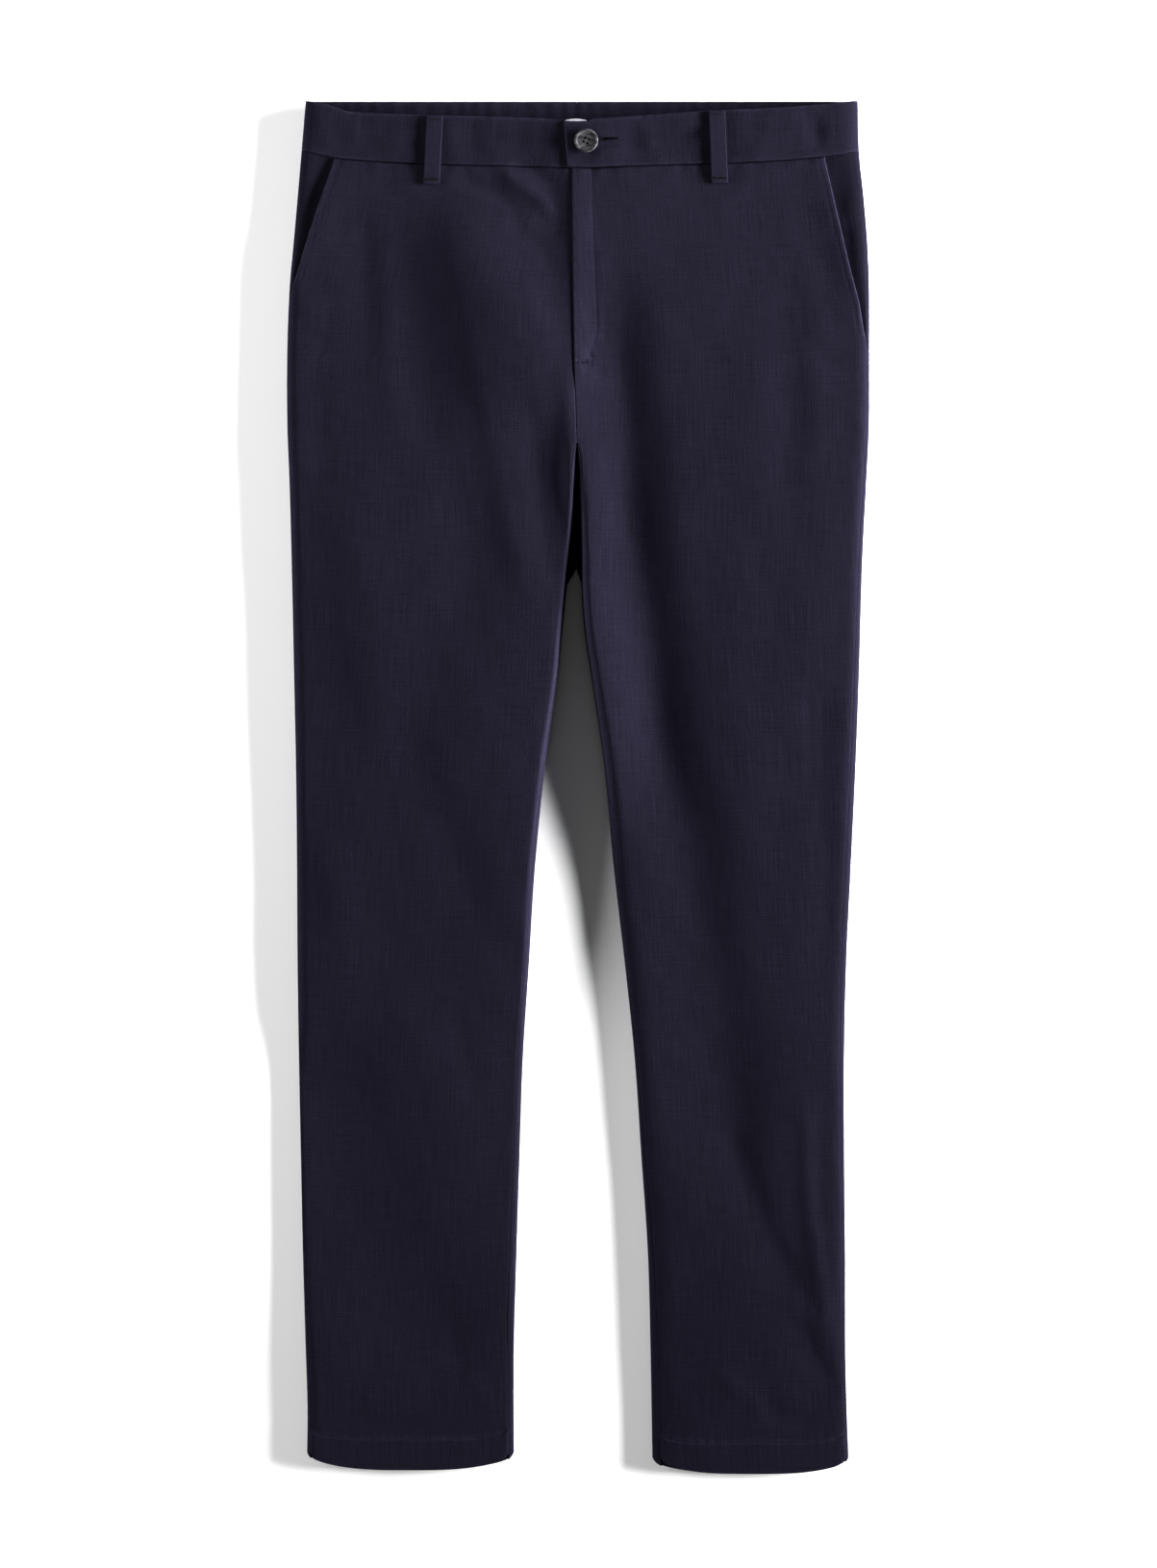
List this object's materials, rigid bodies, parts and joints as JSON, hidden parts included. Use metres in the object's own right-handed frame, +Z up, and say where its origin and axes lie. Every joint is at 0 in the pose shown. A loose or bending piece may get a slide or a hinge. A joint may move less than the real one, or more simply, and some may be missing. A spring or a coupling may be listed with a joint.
{
  "type": "chino trousers",
  "caption": "Slim cotton chino trousers laid flat with the fly side up: hollow waist, hips and legs, slanted front pockets, belt loops and a buttoned waistband.",
  "frame": {"origin": "middle of the trousers' width and length, on the surface they lie on", "axes": "+X to the wearer's left, +Y from the hems to the waist, +Z up, out of the fly side"},
  "size_m": [0.4575, 1.078, 0.0195],
  "materials": {
    "twill": "dark navy cotton twill, matt",
    "pocket_facing": "dark navy cotton twill, matt, in shade",
    "button": "dark grey, satin",
    "label": "plain off-white woven tape"
  },
  "bodies": {
    "root": {"front_right": "twill", "front_left": "twill", "back_right": "twill", "back_left": "twill", "waistband_right": "twill", "waistband_left": "twill", "pocket_facing_right": "pocket_facing", "pocket_facing_left": "pocket_facing", "belt_loop_front_right": "twill", "belt_loop_front_left": "twill", "belt_loop_back_right": "twill", "belt_loop_back_centre": "twill", "belt_loop_back_left": "twill", "waist_button": "button", "inner_label": "label"}
  },
  "joints": []
}
